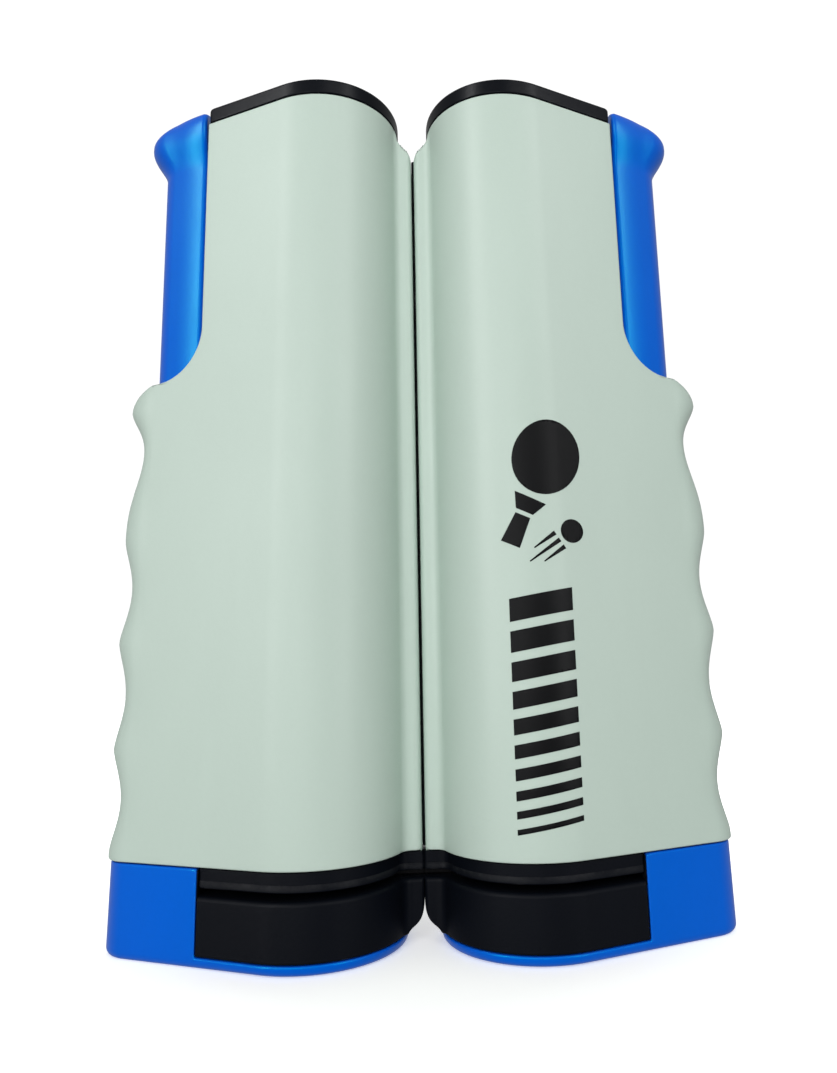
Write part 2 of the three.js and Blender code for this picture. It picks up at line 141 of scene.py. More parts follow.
SPRING_X = 66
SPRING_R = 2.9
SPRING_WIRE_R = 0.45
SHELF_Z = 34
SHELF_TOP = 36.5
SPRING_TURNS = 11

SCREW_X = 48.4
SCREWS_Z = [45, 118, 190]
SCREW_SEAT_Y = 13
BOSS_R = 4.3
BOSS_TIP_R = 3.4
SCREW_WELL_R = 3
SCREW_HOLE_R = 1.8

REEL_X = 27
SPINDLE_R = 2
TUBE_R = 6
TUBE_BORE_R = 4.7
TUBE_TOP = 206
ROLL_R = 16.5
NET_BASE = 27
NET_TOP = 170
ROD_R = 1.9
ROD_X = BARREL_EDGE_X + WALL + GAP + ROD_R + 1.5
NET_OUT = 1.65  # how far the posts draw apart, in metres


# ---- numbers and curves ----
def lerp(a, b, t):
    return a + (b - a) * t


def spread(a, b, steps):
    return [lerp(a, b, i / steps) for i in range(steps + 1)]


def smooth(t):
    t = min(max(t, 0), 1)
    return t * t * (3 - 2 * t)


def arc(x, y, r, start, end, steps):
    return [(x + r * math.cos(a), y + r * math.sin(a)) for a in spread(start, end, steps)]


def bezier(points, steps):
    curve = []
    for t in spread(0, 1, steps):
        weights = [(1 - t) ** 3, 3 * t * (1 - t) ** 2, 3 * t * t * (1 - t), t**3]
        x = sum(w * p[0] for w, p in zip(weights, points))
        z = sum(w * p[1] for w, p in zip(weights, points))
        curve.append((x, z))
    return curve


# ---- the plan section ----
def grip_x(z):
    """Outer end of the section, with the finger scallops."""
    top_x, top_z = STOPS[-1]
    if z >= top_z:
        t = min((z - top_z) / (GRIP_TOP - top_z), 1)
        return lerp(GRIP_TOP_X, top_x, math.sqrt(1 - t * t))
    if z <= STOPS[0][1]:
        return STOPS[0][0]
    i = next(k for k, (_, stop_z) in enumerate(STOPS) if stop_z > z) - 1
    (x0, z0), (x1, z1) = STOPS[i], STOPS[i + 1]
    depth, skew = SCALLOPS[i]
    t = ((z - z0) / (z1 - z0)) ** skew
    return lerp(x0, x1, t) - depth * math.sin(math.pi * t) ** 1.4


class Plan:
    """The section at one height: a barrel circle, straight flanks and a small end circle."""

    def __init__(self, z, inset=0.0, outer_x=None):
        self.inset = inset
        self.r = lerp(BARREL_R_BASE, BARREL_R_TOP, z / HEIGHT) - inset
        self.barrel_x = BARREL_EDGE_X + self.r + inset
        if outer_x is None:
            outer_x = lerp(END_X_BASE, END_X_TOP, z / HEIGHT) - inset
        self.outer_x = outer_x
        self.end_r = END_R - inset / 2
        self.end_x = outer_x - self.end_r
        lean = math.asin((self.r - self.end_r) / (self.end_x - self.barrel_x))
        self.reach = math.pi / 2 - lean
        self.slope = math.tan(lean)
        self.flank_x = self.end_x + self.end_r * math.cos(self.reach)
        self.flank_end_y = self.end_r * math.sin(self.reach)
        self.tangent_x = self.barrel_x + self.r * math.cos(self.reach)
        # the lip's fillet against the barrel, and the angle on the barrel where it starts
        self.fillet_y = LIP_HALF - inset + LIP_FILLET
        self.fillet_run = math.sqrt((self.r + LIP_FILLET) ** 2 - self.fillet_y**2)
        self.lip_stop = math.atan2(self.fillet_y, -self.fillet_run)

    def y_at(self, x):
        """Half depth at x, on the flank or the end circle."""
        if x <= self.flank_x:
            return self.flank_end_y + (self.flank_x - x) * self.slope
        return math.sqrt(max(self.end_r**2 - (x - self.end_x) ** 2, 0))

    def surface_y(self, x):
        if x < self.tangent_x:
            return math.sqrt(max(self.r**2 - (x - self.barrel_x) ** 2, 0))
        return self.y_at(x)

    def flank(self, x0, x1, steps):
        return [(x, self.y_at(x)) for x in spread(x0, x1, steps)]

    def corner(self, x, radius, inwards):
        """A rounded corner between the flank and an upright face at x."""
        nx, ny = math.cos(self.reach), math.sin(self.reach)
        along = nx * self.flank_x + ny * self.flank_end_y - radius
        cx = x + radius * inwards
        cy = (along - nx * cx) / ny
        if inwards < 0:
            return arc(cx, cy, radius, 0, self.reach, 5)
        return arc(cx, cy, radius, self.reach, math.pi, 5)

    def lip(self, face=SEAM_X, cut_x=None, seam_y=0.0, rounding=LIP_ROUND):
        """From the barrel's start at the lip's fillet to the seam face at x = face.
        cut_x cuts the lip back further."""
        half = LIP_HALF - self.inset
        toward = math.atan2(-self.fillet_y, self.fillet_run)
        points = arc(self.barrel_x - self.fillet_run, self.fillet_y, LIP_FILLET, toward,
                     -math.pi / 2, 7)
        points += arc(face + rounding, half - rounding, rounding, math.pi / 2, math.pi, 6)
        points += [(face, y) for y in spread(half - rounding, seam_y, 3)[1:]]
        if cut_x is None:
            return points
        barrel = [self.barrel_x - math.sqrt(self.r**2 - y * y) for _, y in points]
        return [(min(max(x, cut_x), most), y) for (x, y), most in zip(points, barrel)]


def outline(z, inset=0.0, shrink=0.0, outer_x=None, low=None, high=None, lip=False,
            cut_x=None, corner=0.8, lip_round=LIP_ROUND):
    """A closed plan outline. low and high cut it off at upright faces; shrink is an inset
    of those faces as well as of the rest."""
    plan = Plan(z, inset + shrink, None if outer_x is None else outer_x - shrink)
    if high is None:
        half = arc(plan.end_x, 0, plan.end_r, 0, plan.reach, 12)
    else:
        half = [(high - shrink, 0)] + plan.corner(high - shrink, corner, -1)
    if low is not None:
        rest = plan.corner(low + shrink, corner, 1)
        half += plan.flank(half[-1][0], rest[0][0], 6)[1:-1] + rest
        half.append((low + shrink, 0))
    else:
        stop = plan.lip_stop if lip else math.pi
        rest = arc(plan.barrel_x, 0, plan.r, plan.reach, stop, 44)
        half += plan.flank(half[-1][0], rest[0][0], 6)[1:-1] + rest
        if lip:
            half += plan.lip(JAW_SEAM_X, cut_x, rounding=lip_round)[1:]
    return half + [(x, -y) for x, y in reversed(half[1:-1])]


# ---- mesh building, in millimetres ----
def tilt_top(bm):
    """Slopes the top of the casing and its cap."""
    for v in bm.verts:
        share = min(max((v.co.z - TILT_Z) / (SHELL_TOP - TILT_Z), 0), 1)
        v.co.z += share * TILT * (TILT_X - v.co.x)


def add_skin(bm, rings, capped=True):
    """Faces between neighbouring rings of verts, and over the two ends where capped.
    Returns the faces between the rings."""
    sides = []
    for one, two in zip(rings, rings[1:]):
        for k in range(len(one)):
            n = (k + 1) % len(one)
            sides.append(bm.faces.new((one[k], one[n], two[n], two[k])))
    if capped:
        bm.faces.new(rings[0][::-1])
        bm.faces.new(rings[-1])
    return sides


def level_rings(bm, levels):
    return [[bm.verts.new((x, y, z)) for x, y in points] for z, points in levels]


def add_loft(bm, levels):
    """A closed skin through outlines [(z, points), ...] with the same number of points,
    taken in order of height."""
    add_skin(bm, level_rings(bm, sorted(levels, key=lambda level: level[0])))


def add_turned(bm, profile, at, segments=32, across=False):
    """A closed turned piece. profile is [(radius, height), ...], and a loop if it starts off
    the axis. The axis is upright, or along +Y where across is set."""
    loop = profile[0][0] > 0
    rings = []
    for r, h in profile:
        if r == 0:
            rings.append([bm.verts.new(_turned_point(0, h, 0, at, across))])
            continue
        angles = [2 * math.pi * k / segments for k in range(segments)]
        rings.append([bm.verts.new(_turned_point(r, h, a, at, across)) for a in angles])
    pairs = list(zip(rings, rings[1:]))
    if loop:
        pairs.append((rings[-1], rings[0]))
    for a, b in pairs:
        for k in range(segments):
            n = (k + 1) % segments
            corners = [a[k % len(a)], a[n % len(a)], b[n % len(b)], b[k % len(b)]]
            distinct = list(dict.fromkeys(corners))
            if len(distinct) > 2:
                bm.faces.new(distinct)


def tube(inner, outer, low, high):
    """The profile of a plain tube, or of a rod where inner is 0."""
    return [(inner, low), (outer, low), (outer, high), (inner, high)]


def _turned_point(r, h, a, at, across):
    x, y, z = at
    if across:
        return (x + r * math.cos(a), y + h, z + r * math.sin(a))
    return (x + r * math.cos(a), y + r * math.sin(a), z + h)


def add_box(bm, x0, x1, y0, y1, z0, z1):
    made = bmesh.ops.create_cube(bm, size=1)
    for v in made["verts"]:
        x, y, z = v.co
        v.co = (lerp(x0, x1, x + 0.5), lerp(y0, y1, y + 0.5), lerp(z0, z1, z + 0.5))


def add_coil(bm, x, radius, wire, turns, z0, z1, closed_turns=0.0, sides=10):
    """A wire coil about the upright line at x, with closed turns at both ends."""
    steps = 28
    total = turns + 2 * closed_turns
    rings = []
    for turn in spread(0, total, int(total * steps)):
        low = z0 + wire * (1 + 2.1 * min(turn, closed_turns))
        high = z1 - wire * (1 + 2.1 * min(total - turn, closed_turns))
        z = lerp(low, high, min(max((turn - closed_turns) / turns, 0), 1))
        a = 2 * math.pi * turn
        ring = []
        for k in range(sides):
            b = 2 * math.pi * k / sides
            r = radius + wire * math.cos(b)
            rise = wire * math.sin(b)
            ring.append(bm.verts.new((x + r * math.cos(a), r * math.sin(a), z + rise)))
        rings.append(ring)
    add_skin(bm, rings)


def rounded_levels(z0, z1, bottom, top, make, steps=5):
    """Levels of a slab whose bottom and top edges are rounded by these radii."""
    def rounding(end, radius, inwards):
        if not radius:
            return [(end, 0)]
        return [(end + inwards * radius * (1 - math.sin(a)), radius * (1 - math.cos(a)))
                for a in spread(0, math.pi / 2, steps)]

    levels = sorted(rounding(z0, bottom, 1)) + rounding(z1, top, -1)
    return [(z, make(z, shrink)) for z, shrink in levels]


def slab_levels(z0, z1, bottom, top, fixed_end=False, steps=5, **shape):
    """Levels of a rounded slab with the section's outline. Its end face at high keeps its
    place in the rounding where fixed_end is set."""
    def make(z, shrink):
        end = {"high": shape["high"] + shrink} if fixed_end else {}
        return outline(z, shrink=shrink, **{**shape, **end})

    return rounded_levels(z0, z1, bottom, top, make, steps)


# ---- pieces ----
def finish_mesh(name, bm, side, merge=0.002):
    bmesh.ops.remove_doubles(bm, verts=bm.verts, dist=merge)
    bmesh.ops.dissolve_degenerate(bm, edges=bm.edges, dist=merge / 4)
    bmesh.ops.recalc_face_normals(bm, faces=bm.faces)
    for v in bm.verts:
        v.co = (v.co.x * side * MM, v.co.y * MM, v.co.z * MM)
    if side < 0:
        bmesh.ops.reverse_faces(bm, faces=bm.faces)
    mesh = bpy.data.meshes.new(name)
    bm.to_mesh(mesh)
    bm.free()
    mesh.shade_smooth()
    return mesh


def link(obj):
    bpy.context.scene.collection.objects.link(obj)
    return obj


def piece(name, bm, side, body, slot, nodes=(), edge=0.0, segments=3, merge=0.002,
          material=None):
    """A finished piece that rides on a body. edge is the radius of its softened edges in mm.
    It has its slot's material unless it is given one."""
    obj = link(bpy.data.objects.new(name, finish_mesh(name, bm, side, merge)))
    obj.data.materials.append(material or MATERIALS[slot])
    if edge:
        bevel = obj.modifiers.new("edges", "BEVEL")
        bevel.width = edge * MM
        bevel.segments = segments
        bevel.limit_method = "ANGLE"
        bevel.angle_limit = math.radians(38)
        bevel.use_clamp_overlap = False
        bevel.miter_outer = "MITER_ARC"
    normals = obj.modifiers.new("normals", "WEIGHTED_NORMAL")
    normals.keep_sharp = True
    normals.weight = 60
    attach(obj, body)
    if nodes:
        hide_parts(*nodes)
    return obj


def cut(obj, tool_bm, side):
    """Cuts the tool's shape out of obj's mesh."""
    tool = link(bpy.data.objects.new("cutter", finish_mesh("cutter", tool_bm, side)))
    blank = link(bpy.data.objects.new("blank", obj.data))
    boolean = blank.modifiers.new("cut", "BOOLEAN")
    boolean.operation = "DIFFERENCE"
    boolean.solver = "MANIFOLD"
    boolean.object = tool
    done = blank.evaluated_get(bpy.context.evaluated_depsgraph_get())
    mesh = bpy.data.meshes.new_from_object(done)
    bpy.data.objects.remove(tool)
    bpy.data.objects.remove(blank)
    old = obj.data
    obj.data = mesh
    mesh.name = old.name
    bpy.data.meshes.remove(old)
    mesh.shade_smooth()


# ---- materials ----
def linear(r, g, b):
    """An sRGB colour, 0 to 255, as a linear colour."""
    channels = []
    for value in (r, g, b):
        c = value / 255
        channels.append(c / 12.92 if c <= 0.04045 else ((c + 0.055) / 1.055) ** 2.4)
    return (*channels, 1)


def scaled(colour, factor):
    return tuple(min(c * factor, 1) for c in colour[:3]) + (1,)


class Look:
    """A material under construction."""

    def __init__(self, name):
        self.material = bpy.data.materials.new(name)
        self.material.use_nodes = True
        self.tree = self.material.node_tree
        self.shader = self.tree.nodes["Principled BSDF"]
        self.position = self.node("ShaderNodeTexCoord").outputs["Object"]

    def node(self, kind, inputs=None, **settings):
        made = self.tree.nodes.new(kind)
        for key, value in settings.items():
            setattr(made, key, value)
        for key, value in (inputs or {}).items():
            self.put(value, made.inputs[key])
        return made

    def put(self, value, socket):
        if isinstance(value, bpy.types.NodeSocket):
            self.tree.links.new(value, socket)
        else:
            socket.default_value = value

    def noise(self, scale, detail=2.0, roughness=0.5, stretch=None, distortion=0.0):
        where = self.position
        if stretch:
            where = self.node("ShaderNodeMapping", {"Vector": where, "Scale": stretch}).outputs[0]
        return self.node("ShaderNodeTexNoise", {
            "Vector": where, "Scale": scale, "Detail": detail,
            "Roughness": roughness, "Distortion": distortion,
        }).outputs["Fac"]

    def span(self, value, low, high, to_low=0.0, to_high=1.0):
        return self.node("ShaderNodeMapRange", {
            "Value": value, "From Min": low, "From Max": high,
            "To Min": to_low, "To Max": to_high,
        }).outputs[0]

    def maths(self, operation, a, b):
        return self.node("ShaderNodeMath", {0: a, 1: b}, operation=operation).outputs[0]

    def mix(self, factor, a, b):
        made = self.node("ShaderNodeMix", data_type="RGBA")
        self.put(factor, made.inputs[0])
        self.put(a, made.inputs[6])
        self.put(b, made.inputs[7])
        return made.outputs[2]

    def bump(self, height, distance, strength=1.0, below=None):
        inputs = {"Height": height, "Distance": distance, "Strength": strength}
        if below is not None:
            inputs["Normal"] = below
        return self.node("ShaderNodeBump", inputs).outputs[0]

    def set(self, **sockets):
        for name, value in sockets.items():
            self.put(value, self.shader.inputs[name.replace("_", " ")])


def moulded(name, colour, roughness, grain, depth, mottle=0.035, specular=0.4, wear=0.3,
            tint=(1, 1, 1, 1)):
    """Moulded plastic: a fine spark-eroded grain, faint flow mottling, rubbed edges. grain
    is the grain's scale and depth its depth in metres; tint is the colour of its shine."""
    look = Look(name)
    flow = look.noise(38, 3, 0.6, stretch=(1, 1, 0.35), distortion=0.6)
    specks = look.noise(900, 2)
    flow = look.maths("MULTIPLY", flow, 0.75)
    shade = look.maths("ADD", flow, look.maths("MULTIPLY", specks, 0.25))
    shade = look.span(shade, 0.3, 0.7)
    base = look.mix(shade, scaled(colour, 1 - mottle), scaled(colour, 1 + mottle))
    # edges and high spots are rubbed a little paler
    edges = look.span(look.node("ShaderNodeNewGeometry").outputs["Pointiness"], 0.52, 0.6)
    rubbed = look.maths("MULTIPLY", edges, look.span(look.noise(160, 4, 0.7), 0.35, 0.65, 0, wear))
    pale = tuple(lerp(c, 1, 0.16) for c in colour[:3]) + (1,)
    base = look.mix(rubbed, base, pale)
    # hairline scuffs, mostly upright, show as slightly duller streaks
    streak = look.noise(420, 3, 0.55, stretch=(1, 1, 0.04), distortion=0.3)
    scuff = look.span(streak, 0.66, 0.74)
    handled = look.noise(22, 3, 0.6)
    rough = look.span(handled, 0.3, 0.7, roughness - 0.045, roughness + 0.045)
    rough = look.maths("ADD", rough, look.maths("MULTIPLY", scuff, 0.06))
    fine = look.noise(grain, 2, 0.55)
    pits = look.node("ShaderNodeTexVoronoi", {"Vector": look.position, "Scale": grain * 0.45})
    height = look.maths("ADD", fine, look.maths("MULTIPLY", pits.outputs["Distance"], 0.5))
    wavy = look.bump(look.noise(30, 1), 0.00006, 0.5)
    normal = look.bump(height, depth, 0.6, wavy)
    look.set(Base_Color=base, Roughness=rough, Normal=normal, Specular_IOR_Level=specular,
             Specular_Tint=tint)
    return look.material


def rubber(name, colour):
    look = Look(name)
    dust = look.span(look.noise(140, 4, 0.65), 0.45, 0.75)
    base = look.mix(look.maths("MULTIPLY", dust, 0.4), colour, scaled(colour, 2))
    ribs = look.node("ShaderNodeTexVoronoi", {"Vector": look.position, "Scale": 900})
    normal = look.bump(ribs.outputs["Distance"], 0.00008, 0.7)
    look.set(Base_Color=base, Roughness=look.span(dust, 0, 1, 0.7, 0.9), Normal=normal,
             Specular_IOR_Level=0.1)
    return look.material


def steel(name, colour):
    look = Look(name)
    tarnish = look.span(look.noise(260, 4, 0.6), 0.4, 0.75)
    base = look.mix(tarnish, colour, scaled(colour, 0.72))
    lines = look.noise(1500, 2, 0.5, stretch=(1, 1, 0.2))
    look.set(Base_Color=base, Metallic=1.0, Roughness=look.span(tarnish, 0, 1, 0.22, 0.42),
             Normal=look.bump(lines, 0.00001, 0.5))
    return look.material


def woven(name, colour, across, rough=0.8):
    """Woven cloth: crossed threads from two waves on the cloth's own coordinates."""
    look = Look(name)
    where = look.node("ShaderNodeUVMap").outputs[0]
    inputs = {"Vector": where, "Scale": across, "Distortion": 0.4, "Detail": 1}
    threads = [look.node("ShaderNodeTexWave", inputs, bands_direction=way).outputs["Fac"]
               for way in "XY"]
    weave = look.maths("MAXIMUM", *threads)
    lint = look.span(look.noise(500, 3), 0.3, 0.7)
    base = look.mix(look.maths("MULTIPLY", weave, 0.5), scaled(colour, 0.7), colour)
    base = look.mix(look.maths("MULTIPLY", lint, 0.25), base, scaled(colour, 1.3))
    look.set(Base_Color=base, Roughness=rough, Normal=look.bump(weave, 0.00012, 0.8),
             Specular_IOR_Level=0.2, Sheen_Weight=0.15)
    return look.material


MATERIALS = {
    "pale_shell": moulded("pale_shell", linear(185, 202, 191.5), 0.42, 2400, 0.00002,
                          mottle=0.02, specular=0.25, wear=0.5),
    "blue_plastic": moulded("blue_plastic", linear(0, 85, 206), 0.31, 2000, 0.00001,
                            mottle=0.05, specular=0.4, wear=0.15, tint=(0, 1, 0.75, 1)),
    "black_plastic": moulded("black_plastic", linear(7, 10, 17), 0.46, 1800, 0.00003,
                             mottle=0.12, specular=0.05, wear=0.1),
    "rubber_pad": rubber("rubber_pad", linear(11, 11, 13)),
    "white_plastic": moulded("white_plastic", linear(222, 222, 216), 0.5, 1600, 0.00002),
    "net_mesh": woven("net_mesh", linear(24, 27, 33), 900),
    "net_tape": woven("net_tape", linear(226, 226, 220), 1400),
    "steel": steel("steel", linear(190, 192, 196)),
}
CAP_LOOK = moulded("cap_plastic", linear(6, 9, 16), 0.3, 1800, 0.00002,
                   mottle=0.12, specular=0.07, wear=0.1)
PRINT = moulded("printed_ink", linear(5, 6, 8), 0.42, 3200, 0.00001,
                mottle=0.1, specular=0.08, wear=0.0)


def post_piece(part, bm, side_name, body, slot, edge=0.0, **options):
    """A piece of one post; it stands for the CAD node of the same name."""
    name = f"{side_name}_{part}"
    return piece(f"look_{name}", bm, SIDES[side_name], f"{side_name}_{body}", slot, [name],
                 edge, **options)


# ---- casing ----
BARREL_STEPS = 44


def shell_row(z, lip_x):
    """Outer and inner points of the casing wall at one level, from the seam outwards. They
    end at the handle cut-out above the grip's top."""
    plan = Plan(z)
    hollow = Plan(z, WALL, CHANNEL_X)
    slot_wall = hollow.barrel_x - math.sqrt(hollow.r**2 - SLOT_HALF**2)
    outer = plan.lip(SEAM_X, lip_x, SLOT_HALF)[::-1]
    inner = [(min(x, slot_wall), SLOT_HALF) for x, _ in outer]
    outer += arc(plan.barrel_x, 0, plan.r, plan.lip_stop, plan.reach, BARREL_STEPS)[1:]
    slot_angle = math.pi - math.asin(SLOT_HALF / hollow.r)
    inner += arc(hollow.barrel_x, 0, hollow.r, slot_angle, hollow.reach, BARREL_STEPS)[1:]
    cut_x = CUT_X + CUT_RX
    if z > GRIP_TOP:
        rise = min((CUT_Z - z) / (CUT_Z - GRIP_TOP), 1)
        cut_x = CUT_X + (CUT_RX * (1 - math.sqrt(1 - rise**2)) if rise > 0 else 0)
    steps = 9
    outer += plan.flank(plan.tangent_x, cut_x, steps)[1:]
    inner += [(x, hollow.y_at(x)) for x in spread(hollow.tangent_x, cut_x, steps)][1:]
    if z <= GRIP_TOP + 1e-6:
        if plan.flank_x > cut_x:
            outer += plan.flank(cut_x, plan.flank_x, 3)[1:]
        outer += arc(plan.end_x, 0, plan.end_r, plan.reach, 0, 14)[1:]
        push = grip_x(z) - plan.outer_x
        width = plan.outer_x - FADE_X
        outer = [(x + push * (max(x - FADE_X, 0) / width) ** FADE_POWER, y) for x, y in outer]
        more = len(outer) - len(inner)
        start = math.acos((cut_x - hollow.end_x) / hollow.end_r)
        inner += arc(hollow.end_x, 0, hollow.end_r, start, 0, more)[1:]
    return [[(x, max(y, PARTING_Y)) for x, y in line] for line in (outer, inner)]


def shell_levels():
    """Heights of the casing's rows, and where the lip is cut back to at each."""
    crest_z, quarter = STOPS[-1][1], math.pi / 2
    grip = spread(SHELL_BASE, crest_z, 92)
    grip += [lerp(crest_z, GRIP_TOP, math.sin(a)) for a in spread(0, quarter, 9)[1:]]
    upper = [lerp(CUT_Z, GRIP_TOP, math.cos(a)) for a in spread(0, quarter, 16)[1:]]
    upper += spread(CUT_Z, SHOULDER[0][1] - 1, 10)[1:]
    shoulder = [(z, x) for x, z in bezier(SHOULDER, 16)]
    shoulder += [(z, LIP_GONE_X) for z in (SHOULDER[-1][1] + 0.3, SHELL_TOP)]
    return [(z, None) for z in grip], [(z, None) for z in upper] + shoulder


def add_wall(bm, depth):
    """One half of the casing wall. depth is -1 for the front half and 1 for the rear."""
    def row(z, lip_x):
        return [[bm.verts.new((x, y * depth, z)) for x, y in line] for line in shell_row(z, lip_x)]

    grip, upper = ([row(*level) for level in levels] for levels in shell_levels())
    last, column = len(grip[0][0]) - 1, len(upper[0][0]) - 1

    def quad(*corners):
        bm.faces.new(corners)

    def stack(rows, end):
        for (o0, i0), (o1, i1) in zip(rows, rows[1:]):
            for k in range(end):
                quad(o0[k], o0[k + 1], o1[k + 1], o1[k])
                quad(i0[k], i1[k], i1[k + 1], i0[k + 1])
            quad(o0[end], i0[end], i1[end], o1[end])

    def rim(ends, start, end):
        outer, inner = ends
        for k in range(start, end):
            quad(outer[k], inner[k], inner[k + 1], outer[k + 1])

    stack(grip, last)
    stack(grip[-1:] + upper, column)
    rim(grip[0], 0, last)
    rim(grip[-1], column, last)
    rim(upper[-1], 0, column)


def add_ribs(bm, depth):
    """Partition, shelf and screw bosses; they reach into the wall but not through it."""
    y = PARTING_Y * depth
    for z0, z1 in ((SHELL_BASE + 0.2, 60), (60, 130), (130, SHELL_TOP - 0.2)):
        plan = Plan((z0 + z1) / 2, WALL * 0.5)
        add_box(bm, CUT_X - WALL, CUT_X - 0.15, *sorted((y, plan.y_at(CUT_X) * depth)), z0, z1)
    plan = Plan(SHELF_Z, WALL * 0.5)
    add_box(bm, BAR_X1 + GAP, SPRING_X - 1.6, *sorted((y, plan.y_at(BAR_X1) * depth)),
            SHELF_Z, SHELF_TOP)
    for z in SCREWS_Z:
        wall_y = Plan(z, WALL * 0.4).y_at(SCREW_X)
        if depth > 0:
            well_r = SCREW_WELL_R - 0.03
            cup = [(SCREW_HOLE_R, PARTING_Y), (BOSS_TIP_R, PARTING_Y), (BOSS_R, 9),
                   (BOSS_R, wall_y - 1.9), (well_r, wall_y - 0.6), (well_r, SCREW_SEAT_Y),
                   (SCREW_HOLE_R, SCREW_SEAT_Y)]
            add_turned(bm, cup, (SCREW_X, 0, z), 36, across=True)
        else:
            end = 1.6 - wall_y
            add_turned(bm, tube(1.5, 3.2, -PARTING_Y, end), (SCREW_X, 0, z), 24, across=True)


def casing_half(side_name, depth):
    bm = bmesh.new()
    add_wall(bm, depth)
    tilt_top(bm)
    part = "front_shell" if depth < 0 else "rear_shell"
    obj = post_piece(part, bm, side_name, "post", "pale_shell", edge=0.4)
    if depth > 0:
        tool = bmesh.new()
        for z in SCREWS_Z:
            well = tube(0, SCREW_WELL_R, SCREW_SEAT_Y - 0.5, 30)
            add_turned(tool, well, (SCREW_X, 0, z), 40, across=True)
        cut(obj, tool, SIDES[side_name])
    inside = bmesh.new()
    add_ribs(inside, depth)
    tilt_top(inside)
    bmesh.ops.recalc_face_normals(inside, faces=inside.faces)
    join(obj, inside, SIDES[side_name])


def join(obj, bm, side):
    """Adds a bmesh in millimetres to a piece's mesh."""
    extra = finish_mesh("extra", bm, side)
    both = bmesh.new()
    both.from_mesh(obj.data)
    both.from_mesh(extra)
    both.to_mesh(obj.data)
    both.free()
    bpy.data.meshes.remove(extra)
    obj.data.shade_smooth()


# ---- top cap, jaws and handle ----
def top_cap(side_name):
    bm = bmesh.new()
    add_loft(bm, slab_levels(SHELL_TOP + GAP, HEIGHT, 0.25, 0.9, high=CUT_X - 0.2, corner=1.3))
    add_loft(bm, slab_levels(SHELL_TOP - 5, SHELL_TOP + 1, 0.3, 0, inset=WALL + GAP,
                             outer_x=CHANNEL_X - GAP, high=CUT_X - WALL - GAP, corner=0.6))
    tilt_top(bm)
    socket = tube(SPINDLE_R + GAP, 5, TUBE_TOP + 2, SHELL_TOP - 4)
    add_turned(bm, socket, (REEL_X, 0, 0), 32)
    post_piece("top_cap", bm, side_name, "post", "black_plastic", material=CAP_LOOK)


def upper_jaw(side_name):
    bm = bmesh.new()
    band = {"inset": 1.2, "lip": True, "high": BAND_END_X, "fixed_end": True, "corner": 0.3,
            "lip_round": 0.9}
    add_loft(bm, slab_levels(PAD_TOP + 0.05, BAND_TOP, 0.3, 0.3, **band))
    rim = slab_levels(BAND_BASE, PAD_TOP + 0.4, 0.25, 0, **band)
    hole = slab_levels(BAND_BASE - 0.1, PAD_TOP + 0.3, 0, 0, inset=PAD_INSET - GAP, lip=True,
                       high=CORNER_X - 2, corner=0.6, lip_round=0.9)
    add_ring(bm, rim, hole)
    add_loft(bm, slab_levels(BAND_TOP - 1, BAND_TOP + 4, 0, 0.3, inset=WALL + GAP,
                             outer_x=CHANNEL_X - GAP, high=CORNER_X - 1.3, corner=0.6))
    post_piece("upper_jaw", bm, side_name, "post", "black_plastic")


def add_ring(bm, outer_levels, inner_levels):
    """A closed band between an outer and an inner skin with the same points per level."""
    outside, inside = level_rings(bm, outer_levels), level_rings(bm, inner_levels)
    for rings in (outside, inside, [outside[0], inside[0]], [outside[-1], inside[-1]]):
        add_skin(bm, rings, capped=False)


def upper_jaw_pad(side_name):
    bm = bmesh.new()
    add_loft(bm, slab_levels(PAD_BASE, PAD_TOP, 0.3, 0, inset=PAD_INSET, lip=True,
                             high=CORNER_X - 2.3, corner=0.6, lip_round=1))
    # soft ribs along the pad, which bend over against the table
    plan = Plan(PAD_BASE, PAD_INSET + 6)
    for row in range(-8, 9):
        y = row * PAD_RIB_STEP
        on_lip = abs(y) < LIP_HALF - PAD_INSET
        start = JAW_SEAM_X if on_lip else plan.barrel_x - math.sqrt(max(plan.r**2 - y * y, 0))
        reach = min(CORNER_X - 4, plan.flank_x + (plan.flank_end_y - abs(y)) / plan.slope)
        if abs(y) >= plan.r or reach - start <= 4:
            continue
        if on_lip:
            add_rib(bm, start, reach, y, start_share=1, drop=1.85)
        else:
            add_rib(bm, start, reach, y)
    post_piece("upper_jaw_pad", bm, side_name, "post", "rubber_pad")


def add_rib(bm, x0, x1, y, start_share=0.3, half=0.55, drop=1.35):
    """A soft rib under the pad, drop deep; start_share is the share of that at x0."""
    profile = [(-half, 0.2), (-half * 0.5, -drop * 0.8), (0, -drop), (half * 0.5, -drop * 0.8),
               (half, 0.2)]
    rings = []
    for x, share in ((x0, start_share), (x0 + 0.8, 1), (x1 - 0.8, 1), (x1, 0.3)):
        rings.append([bm.verts.new((x, y + a, PAD_BASE + (b * share if b < 0 else b)))
                      for a, b in profile])
    add_skin(bm, rings)


def toe_face(z):
    """Where the block's toe is cut back to at height z, or None above the toe."""
    curve = sorted((cz, cx) for cx, cz in bezier(TOE, 60))
    if z <= curve[0][0]:
        return curve[0][1]
    for (z0, x0), (z1, x1) in zip(curve, curve[1:]):
        if z < z1:
            return lerp(x0, x1, (z - z0) / (z1 - z0))
    return None


